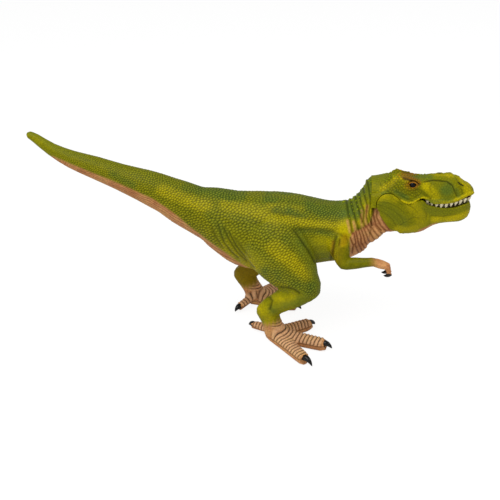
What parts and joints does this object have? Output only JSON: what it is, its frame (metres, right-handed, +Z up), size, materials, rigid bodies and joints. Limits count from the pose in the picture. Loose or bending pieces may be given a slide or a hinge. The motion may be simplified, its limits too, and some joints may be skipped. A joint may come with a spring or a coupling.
{
  "type": "toy dinosaur figure",
  "caption": "Moulded toy dinosaur: a two-legged meat eater in a striding pose, tail raised behind, short arms, and a toothed lower jaw that opens on a hinge.",
  "frame": {"origin": "middle of the figure's outer box, on the plane that the soles stand on", "axes": "+X from the tail towards the snout, +Y to the figure's left, +Z up"},
  "size_m": [0.2782, 0.1038, 0.1332],
  "materials": {
    "skin": "satin hand-painted vinyl with a dark wash in its grooves",
    "teeth": "ivory, slightly glossy",
    "mouth": "satin",
    "pin": "plain drawn wire"
  },
  "bodies": {
    "figure": {"trunk": "skin", "tail": "skin", "head": "skin", "upper_teeth": "teeth", "jaw_pin": "pin", "right_leg": "skin", "left_leg": "skin", "right_arm": "skin", "left_arm": "skin"},
    "jaw": {"lower_jaw": "skin", "lower_teeth": "teeth", "tongue": "mouth"}
  },
  "joints": [
    {"name": "jaw_hinge", "type": "hinge", "parent": "figure", "child": "jaw", "pos_m": [0.0875, -0.00339, 0.0998], "axis": [0, 1, 0], "range_deg": [0, 28]}
  ]
}
